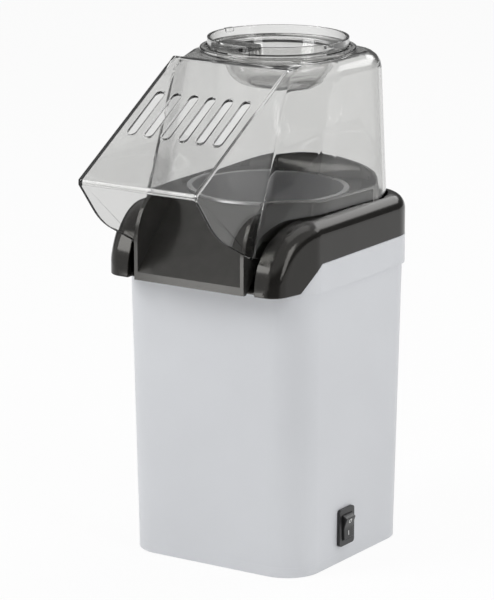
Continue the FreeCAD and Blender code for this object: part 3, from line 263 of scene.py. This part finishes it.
def smoked_edge():
    """Cut edges of the grey plastic, with painted shade: a dark colour standing in for the dark look where
    the eye looks along the sheet.
    """
    finish = Finish("smoked_edge")
    wave = finish.noise(5 * MM, detail=2)
    colour = finish.ramp(wave, (0.2, (0.20, 0.20, 0.195)), (0.8, (0.30, 0.30, 0.295)))
    finish.set(Base_Color=colour, Roughness=0.06 + wave * 0.08, Transmission_Weight=1.0, IOR=1.45)
    return finish.bump(wave, 0.02 * MM, 0.2).material


def bright_metal(name, colour, roughness, line_size, stretch):
    """Bare metal with drawing or turning lines."""
    finish = Finish(name)
    lines = finish.noise(line_size, detail=4, stretch=stretch)
    stain = finish.noise(18 * MM, detail=3)
    stained = [0.82 * channel for channel in colour]
    finish.set(Base_Color=finish.blend(stain * 0.5 + lines * 0.3, colour, stained), Metallic=1.0,
               Roughness=roughness - 0.06 + lines * 0.12 + stain * 0.06)
    return finish.bump(lines, 0.02 * MM, 0.4).material


def plain_moulding(name, dark, light, roughness):
    """Matt engineering plastic with a fine grain."""
    finish = Finish(name)
    cloud = finish.noise(11 * MM, detail=3)
    grain = finish.noise(0.5 * MM)
    finish.set(Base_Color=finish.ramp(cloud, (0.3, dark), (0.75, light)),
               Roughness=roughness + grain * 0.12 - 0.06)
    return finish.bump(grain, 0.03 * MM, 0.6).material


def mica_sheet():
    """Layered mica with pale flakes."""
    finish = Finish("mica_sheet")
    flakes = finish.grains(3.5 * MM)
    layers = finish.noise(2 * MM, detail=4, stretch=(1, 1, 5))
    colour = finish.ramp(flakes, (0.1, (0.62, 0.56, 0.43)), (0.9, (0.74, 0.69, 0.58)))
    finish.set(Base_Color=colour, Roughness=0.35 + layers * 0.25)
    return finish.bump(layers, 0.05 * MM, 0.5).material


def soft_rubber():
    """Black rubber with a dull, dusty grain."""
    finish = Finish("soft_rubber")
    grain = finish.noise(0.8 * MM, detail=4)
    colour = finish.ramp(grain, (0.3, (0.018, 0.018, 0.018)), (0.8, (0.035, 0.034, 0.033)))
    finish.set(Base_Color=colour, Roughness=0.62 + grain * 0.2)
    return finish.bump(grain, 0.05 * MM, 0.6).material


def board_laminate():
    """Brown board with a faint weave."""
    finish = Finish("board_laminate")
    weave = finish.noise(0.9 * MM, detail=2, stretch=(1, 3, 1))
    colour = finish.ramp(weave, (0.3, (0.23, 0.15, 0.06)), (0.8, (0.31, 0.21, 0.09)))
    finish.set(Base_Color=colour, Roughness=0.5 + weave * 0.2)
    return finish.bump(weave, 0.03 * MM, 0.5).material


def mark_white():
    """Pad-printed white, a little worn."""
    finish = Finish("mark_white")
    wear = finish.noise(0.5 * MM, detail=3)
    colour = finish.ramp(wear, (0.25, (0.55, 0.55, 0.54)), (0.6, (0.80, 0.80, 0.79)))
    return finish.set(Base_Color=colour, Roughness=0.5 + wear * 0.2).material


MATERIALS = {
    "white_plastic": white_satin(),
    "black_plastic": gloss_black(),
    "smoked_clear": smoked_clear(),
    "chamber_aluminium": bright_metal("spun_aluminium", (0.74, 0.74, 0.75), 0.30, 0.8 * MM, (1, 1, 8)),
    "duct_steel": bright_metal("duct_steel", (0.60, 0.60, 0.61), 0.34, 1.2 * MM, (1, 1, 6)),
    "mica": mica_sheet(),
    "heater_wire": bright_metal("heater_wire", (0.38, 0.35, 0.32), 0.42, 0.6 * MM, (1, 1, 1)),
    "steel": bright_metal("plated_steel", (0.62, 0.62, 0.62), 0.28, 0.7 * MM, (1, 1, 4)),
    "heat_plastic": plain_moulding("heat_plastic", (0.30, 0.28, 0.25), (0.36, 0.34, 0.30), 0.45),
    "switch_plastic": plain_moulding("switch_plastic", (0.013, 0.013, 0.014), (0.022, 0.022, 0.023), 0.34),
    "terminal_brass": bright_metal("terminal_brass", (0.71, 0.56, 0.28), 0.3, 0.5 * MM, (5, 1, 1)),
    "thermostat_steel": bright_metal("thermostat_steel", (0.66, 0.66, 0.66), 0.3, 0.6 * MM, (1, 1, 3)),
    "board": board_laminate(),
    "diode": plain_moulding("diode_case", (0.012, 0.012, 0.012), (0.02, 0.02, 0.02), 0.4),
    "rubber": soft_rubber(),
}
CHUTE_BLACK = satin_black()
# the second material is the painted shade of the cut edges and the grip
CLEAR_AND_EDGE = [MATERIALS["smoked_clear"], smoked_edge()]
MARK_WHITE = mark_white()


# Pieces

WELD = 0.00002 * MM  # far below the finest detail of the CAD meshes
FLAT_ANGLE = math.radians(0.1)
HARD_ANGLE = math.radians(28.0)
# index of the darker material that paints shade on the cut edges and the grip
SECOND_MATERIAL = 1
SEAT_STRIP = (-60, -60, 196.6), (60, 60, 197.4)  # corners in millimetres
RING_FOOT = (-60, -34.5, 276.3), (60, 60, 277.1)


class Shape(Graph):
    """A rule-made piece: a node tree with named sizes that ends as a plain mesh."""

    def __init__(self, name, **sizes):
        super().__init__(bpy.data.node_groups.new(name, "GeometryNodeTree"))
        self.sizes = sizes
        for size, number in sizes.items():
            kind = "NodeSocketInt" if isinstance(number, int) else "NodeSocketFloat"
            self.tree.interface.new_socket(size, in_out="INPUT", socket_type=kind)
        self.tree.interface.new_socket("Geometry", in_out="OUTPUT", socket_type="NodeSocketGeometry")
        self.entry = self.tree.nodes.new("NodeGroupInput")

    def size(self, name):
        return Wire(self, self.entry.outputs[name])

    def point(self, x=0.0, y=0.0, z=0.0):
        return self.node("ShaderNodeCombineXYZ", inputs={"X": x, "Y": y, "Z": z})

    def lift(self, geometry, height):
        return self.node("GeometryNodeTransform", inputs={
            "Geometry": geometry, "Translation": self.point(z=height)})

    def copies(self, points, piece):
        return self.node("GeometryNodeInstanceOnPoints", inputs={"Points": points, "Instance": piece})

    def finish(self, geometry, material):
        real = self.node("GeometryNodeRealizeInstances", inputs={"Geometry": geometry})
        dressed = self.node("GeometryNodeSetMaterial", inputs={"Geometry": real, "Material": material})
        self.tree.links.new(dressed.socket, self.tree.nodes.new("NodeGroupOutput").inputs[0])
        made = link(bpy.data.objects.new(self.tree.name, bpy.data.meshes.new(self.tree.name)))
        rule = made.modifiers.new("rule", "NODES")
        rule.node_group = self.tree
        for item in self.tree.interface.items_tree:
            if item.in_out == "INPUT":
                rule[item.identifier] = self.sizes[item.name]
        worked_out = made.evaluated_get(bpy.context.evaluated_depsgraph_get())
        mesh = bpy.data.meshes.new_from_object(worked_out)
        made.modifiers.clear()
        made.data = mesh
        return made


def link(obj):
    bpy.context.scene.collection.objects.link(obj)
    return obj


def paint(obj, *materials):
    obj.data.materials.clear()
    for material in materials:
        obj.data.materials.append(material)


def bow_throat(work):
    """Bow the top of the throat: high in the middle of the back, and lower towards both sides."""
    crown, curve = 212 * MM, 4.2  # fall = curve * (distance from the middle) ** 2
    strip, strips_a_side = 4 * MM, 13
    for step in range(-strips_a_side, strips_a_side + 1):
        bmesh.ops.bisect_plane(work, geom=[*work.verts, *work.edges, *work.faces],
                               plane_co=(step * strip, 0, 0), plane_no=(1, 0, 0))
    for vert in work.verts:
        vert.co.z = min(vert.co.z, crown - curve * vert.co.x ** 2)


def paint_shade_on_cut_edges(work):
    """Paint shade on the slots' walls and the lip's edge: they take the darker material, for the dark look
    of a cut sheet.
    """
    sheet, slanted, upright = 3 * MM, 0.3, 0.2
    facing = (face for face in work.faces if face.normal.y < -slanted and face.normal.z > slanted)
    panel = max(facing, key=lambda face: face.calc_area())
    for face in work.faces:
        below = (panel.verts[0].co - face.calc_center_median()).dot(panel.normal)
        if abs(face.normal.dot(panel.normal)) < upright and 0 < below < sheet:
            # painted shade on the cut edge
            face.material_index = SECOND_MATERIAL


def paint_shade_on_grip(work):
    """Paint shade on the cup's grip, a solid plate: it takes the darker material, for the darker look of
    its thickness.
    """
    half_width, front, low, high = 12.8 * MM, -11 * MM, 280.8 * MM, 283.4 * MM
    for face in work.faces:
        spot = face.calc_center_median()
        if abs(spot.x) < half_width and spot.y < front and low < spot.z < high:
            # painted shade on the grip
            face.material_index = SECOND_MATERIAL


def inside(spot, low, high):
    """Whether a point lies in the box between two corners, given in millimetres."""
    return all(least * MM < at < most * MM for least, at, most in zip(low, spot, high))


def weigh_edges(work, left_sharp):
    """Mark the hard edges for the radius, apart from those inside the box that stays sharp."""
    weights = work.edges.layers.float.new("bevel_weight_edge")
    for line in work.edges:
        hard = len(line.link_faces) == 2 and line.calc_face_angle(0) > HARD_ANGLE
        line[weights] = float(hard and not all(inside(vert.co, *left_sharp) for vert in line.verts))


def rounded_copy(node, name, body, slot, radius, materials=None, reshape=None, clamp=True, left_sharp=None):
    """A piece that stands for a CAD node: the same form, with its hard edges broken by a small radius.

    Edges inside the left_sharp box bound strips too narrow for the radius, and keep their form.
    """
    mesh = NODES[node].data.copy()
    made = link(bpy.data.objects.new(name, mesh))
    paint(made, *(materials or [MATERIALS[slot]]))
    work = bmesh.new()
    work.from_mesh(mesh)
    bmesh.ops.remove_doubles(work, verts=work.verts, dist=WELD)
    bmesh.ops.dissolve_limit(work, angle_limit=FLAT_ANGLE, verts=work.verts, edges=work.edges)
    for face in work.faces:
        face.smooth = True
    if reshape:
        reshape(work)
    if left_sharp:
        weigh_edges(work, left_sharp)
    work.to_mesh(mesh)
    work.free()
    mesh.set_sharp_from_angle(angle=HARD_ANGLE)
    if radius:
        bevel = made.modifiers.new("edge", "BEVEL")
        bevel.width = radius
        bevel.segments = 3
        bevel.limit_method = "WEIGHT" if left_sharp else "ANGLE"
        bevel.angle_limit = HARD_ANGLE
        bevel.use_clamp_overlap = clamp
        bevel.loop_slide = False
    flats = made.modifiers.new("flats", "WEIGHTED_NORMAL")
    flats.keep_sharp = True
    flats.weight = 100
    stands_for(made, node, body)


def stands_for(made, node, body):
    """Put a finished piece on its body, in the place of its CAD node."""
    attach(made, body)
    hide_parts(node)


def make_heater_winding():
    """Resistance wire wound into a close spiral along each turn of the heater."""
    low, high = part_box("heater_coil")
    tube, pitch, per_loop = 1.2 * MM, 7.5 * MM, 9
    shape = Shape("heater_winding", ring=(high[0] - low[0]) / 2 - tube, first=low[2] + tube, pitch=pitch,
                  spiral=0.8 * MM, gauge=0.3 * MM, turns=4, loops=140)
    index = shape.node("GeometryNodeInputIndex")
    loops = shape.size("loops")
    around = index * (2 * math.pi / per_loop)
    along = around / loops
    reach = shape.size("ring") + shape.size("spiral") * around.cosine()
    place = shape.point(reach * along.cosine(), reach * along.sine(), shape.size("spiral") * around.sine())
    line = shape.node("GeometryNodeMeshLine", inputs={"Count": loops * per_loop + 1})
    line = shape.node("GeometryNodeSetPosition", inputs={"Geometry": line, "Position": place})
    path = shape.node("GeometryNodeMeshToCurve", inputs={"Mesh": line})
    profile = shape.node("GeometryNodeCurvePrimitiveCircle",
                         inputs={"Resolution": 5, "Radius": shape.size("gauge")})
    wire = shape.node("GeometryNodeCurveToMesh",
                      inputs={"Curve": path, "Profile Curve": profile, "Fill Caps": True})
    stack = shape.node("GeometryNodeMeshLine", inputs={
        "Count": shape.size("turns"), "Start Location": shape.point(z=shape.size("first")),
        "Offset": shape.point(z=shape.size("pitch"))})
    made = shape.finish(shape.copies(stack, wire), MATERIALS["heater_wire"])
    made.data.shade_smooth()
    stands_for(made, "heater_coil", "body")


def make_base_screws():
    """Round-headed screws with a cross recess, driven from below."""
    low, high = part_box("base_screws")
    head = 3.0 * MM
    shape = Shape("base_screw_set", spread=2 * (high[0] - head), foot=low[2], rise=high[2] - low[2],
                  head=head, height=2.0 * MM, shank=1.5 * MM, slot=0.8 * MM, depth=1.3 * MM, reach=1.25)
    foot, height, rise = shape.size("foot"), shape.size("height"), shape.size("rise")
    slot, long = shape.size("slot"), shape.size("head") * shape.size("reach")
    cap = shape.node("GeometryNodeMeshCylinder", inputs={
        "Vertices": 40, "Radius": shape.size("head"), "Depth": height})
    cap = shape.lift(cap, foot + height / 2)
    for x, y in ((long, slot), (slot, long)):
        size = shape.point(x, y, shape.size("depth") * 2)
        bar = shape.node("GeometryNodeMeshCube", inputs={"Size": size})
        cap = shape.node("GeometryNodeMeshBoolean", {"operation": "DIFFERENCE", "solver": "EXACT"},
                         {"Mesh 1": cap, "Mesh 2": shape.lift(bar, foot)})
    stem = shape.node("GeometryNodeMeshCylinder", inputs={
        "Vertices": 24, "Radius": shape.size("shank"), "Depth": rise - height})
    stem = shape.lift(stem, foot + (rise + height) / 2)
    screw = shape.tree.nodes.new("GeometryNodeJoinGeometry")
    for piece in (stem, cap):
        shape.tree.links.new(piece.socket, screw.inputs[0])
    corners = shape.node("GeometryNodeMeshGrid", inputs={
        "Size X": shape.size("spread"), "Size Y": shape.size("spread"), "Vertices X": 2, "Vertices Y": 2})
    made = shape.finish(shape.copies(corners, Wire(shape, screw.outputs[0])), MATERIALS["steel"])
    stands_for(made, "base_screws", "body")


def rocker_places(*rises):
    """Where marks sit on the rocker's face, at heights from its middle: a little off it, facing out."""
    clear, lead = 0.03 * MM, 10 * MM
    face = NODES["switch_rocker"].data
    corners = [vert.co for vert in face.vertices]
    tree = BVHTree.FromPolygons(corners, [tuple(side.vertices) for side in face.polygons])
    low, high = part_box("switch_rocker")
    for rise in rises:
        start = Vector((high[0] + lead, (low[1] + high[1]) / 2, (low[2] + high[2]) / 2 + rise))
        spot, normal, _, _ = tree.ray_cast(start, Vector((-1, 0, 0)))
        turn = normal.to_track_quat("Z", "Y").to_matrix().to_4x4()
        yield Matrix.Translation(spot + normal * clear) @ turn


def drawn(work, place, outline):
    return [work.verts.new(place @ Vector((x, y, 0))) for x, y in outline]


def circle(radius, steps=36):
    angles = [2 * math.pi * step / steps for step in range(steps)]
    return [(radius * math.cos(angle), radius * math.sin(angle)) for angle in angles]


def make_switch_marks():
    """A ring and a bar printed on the rocker's two halves."""
    ring_rise, ring_radii = 3.4 * MM, (1.35 * MM, 0.85 * MM)
    bar_rise, wide, tall = -3.6 * MM, 0.3 * MM, 1.3 * MM
    ink = 0.06 * MM
    ring_place, bar_place = rocker_places(ring_rise, bar_rise)
    work = bmesh.new()
    outer, inner = [drawn(work, ring_place, circle(radius)) for radius in ring_radii]
    for i in range(len(outer)):
        work.faces.new((outer[i - 1], outer[i], inner[i], inner[i - 1]))
    work.faces.new(drawn(work, bar_place, [(-wide, -tall), (wide, -tall), (wide, tall), (-wide, tall)]))
    work.normal_update()
    bmesh.ops.solidify(work, geom=work.faces[:], thickness=ink)
    bmesh.ops.recalc_face_normals(work, faces=work.faces)
    mesh = bpy.data.meshes.new("switch_marks")
    work.to_mesh(mesh)
    work.free()
    made = link(bpy.data.objects.new("switch_marks", mesh))
    paint(made, MARK_WHITE)
    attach(made, "rocker")


def dress_nodes():
    """Give every CAD node the finish of its own slot."""
    slots = {row["node"]: row["material_slot"] for row in frame["record"]["subparts"]}
    for node, obj in NODES.items():
        paint(obj, MATERIALS[slots[node]])


# Stage, light and camera

LIGHT_AIM = Vector((0, 0, 0.16))
DARK_END = 0.85  # share of the light that the studio's dark end takes from a reflection


def make_floor():
    """A white floor that glows where it is seen, so that it runs into the background."""
    reach, drop, glow_share = 12.0, 0.4 * MM, 0.92
    mesh = bpy.data.meshes.new("floor")
    corners = [(-reach, -reach, 0), (reach, -reach, 0), (reach, reach, 0), (-reach, reach, 0)]
    mesh.from_pydata(corners, [], [(0, 1, 2, 3)])
    floor = link(bpy.data.objects.new("floor", mesh))
    floor.location.z = -drop
    finish = Finish("pale_floor")
    finish.set(Base_Color=(0.9, 0.9, 0.9), Roughness=0.9)
    across, back = (finish.node("ShaderNodeSeparateXYZ", inputs={"Vector": finish.place()}, output=axis)
                    for axis in "XY")
    shade = finish.mirrored() * finish.step(across, -0.2, 0.1) * finish.step(back, -0.15, -0.40)
    glow = finish.node("ShaderNodeEmission", inputs={
        "Color": (1, 1, 1), "Strength": 1.0 - shade * DARK_END})
    matt = Wire(finish, finish.shader.outputs[0])
    mixed = finish.node("ShaderNodeMixShader", inputs={0: finish.seen() * glow_share, 1: matt, 2: glow})
    finish.put(finish.tree.nodes["Material Output"].inputs["Surface"], mixed)
    paint(floor, finish.material)
    floor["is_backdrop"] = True


def make_world():
    """White all round, with the darker end of the studio low in the reflections."""
    fill, white = 0.40, 1.0
    world = bpy.data.worlds.new("studio")
    bpy.context.scene.world = world
    world.use_nodes = True
    graph = Graph(world.node_tree)
    background = graph.tree.nodes["Background"]
    graph.put(background.inputs["Color"], (1, 1, 1))
    way = graph.node("ShaderNodeTexCoord", output="Generated")
    across, back, height = (graph.node("ShaderNodeSeparateXYZ", inputs={"Vector": way}, output=axis)
                            for axis in "XYZ")
    dark_side = graph.step(back, -0.3, 0.3).or_more(graph.step(across, -0.3, 0.1))
    shade = graph.mirrored() * graph.step(height, 0.50, 0.26) * dark_side
    graph.put(background.inputs["Strength"], fill + graph.seen() * (white - fill - shade * DARK_END))


def area_light(name, place, size, power):
    """A soft box aimed at the middle of the object. Metres and watts."""
    data = bpy.data.lights.new(name, "AREA")
    data.shape = "RECTANGLE"
    data.size, data.size_y = size
    data.energy = power
    lamp = link(bpy.data.objects.new(name, data))
    lamp.visible_camera = False
    lamp.location = place
    lamp.rotation_euler = (LIGHT_AIM - Vector(place)).to_track_quat("-Z", "Y").to_euler()


def make_lights():
    area_light("key", (-1.0, -1.2, 1.2), (0.9, 0.9), 13.2)
    area_light("front_card", (-0.22, -0.45, 0.063), (0.12, 0.06), 0.10)
    area_light("side", (1.5, -0.3, 0.75), (0.5, 1.1), 6.8)
    area_light("top", (0.1, 0.3, 1.6), (1.2, 1.2), 5)
    area_light("back", (0.45, 1.35, 1.0), (1.4, 0.45), 4.5)


def make_camera():
    data = bpy.data.cameras.new("photo_view")
    data.sensor_fit = "VERTICAL"
    data.sensor_height = SENSOR_HEIGHT_MM
    data.lens = LENS_PX / PHOTO_HEIGHT_PX * SENSOR_HEIGHT_MM
    camera = link(bpy.data.objects.new("photo_view", data))
    level = math.cos(VIEW_ELEVATION)
    away = Vector((math.sin(VIEW_AZIMUTH) * level, -math.cos(VIEW_AZIMUTH) * level,
                   math.sin(VIEW_ELEVATION)))
    camera.location = VIEW_TARGET + away * VIEW_DISTANCE
    camera.rotation_euler = (-away).to_track_quat("-Z", "Y").to_euler()
    bpy.context.scene.camera = camera


def write_sizes():
    boxes = {"cad": CAD_BOX, "visual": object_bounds()}
    rows = {name: [list(corner) for corner in box] for name, box in boxes.items()}


bpy.context.scene.view_settings.view_transform = "Standard"
dress_nodes()
make_camera()
make_floor()
make_world()
make_lights()
rounded_copy("housing", "housing_shell", "body", "white_plastic", 0.5 * MM)
rounded_copy("base_plate", "base_tray", "body", "white_plastic", 0.4 * MM)
rounded_copy("collar", "collar_moulding", "body", "black_plastic", 0.6 * MM,
             clamp=False, left_sharp=SEAT_STRIP)
rounded_copy("chute", "chute_moulding", "body", "black_plastic", None, [CHUTE_BLACK], bow_throat)
rounded_copy("hood", "hood_clear", "hood", "smoked_clear", 0.8 * MM, CLEAR_AND_EDGE, paint_shade_on_cut_edges,
             clamp=False, left_sharp=RING_FOOT)
rounded_copy("measuring_cup", "cup_clear", "cup", "smoked_clear", 0.4 * MM, CLEAR_AND_EDGE, paint_shade_on_grip)
rounded_copy("switch_body", "switch_bezel", "body", "switch_plastic", 0.3 * MM)
rounded_copy("switch_rocker", "switch_paddle", "rocker", "switch_plastic", 0.3 * MM)
make_switch_marks()
make_heater_winding()
make_base_screws()
write_sizes()
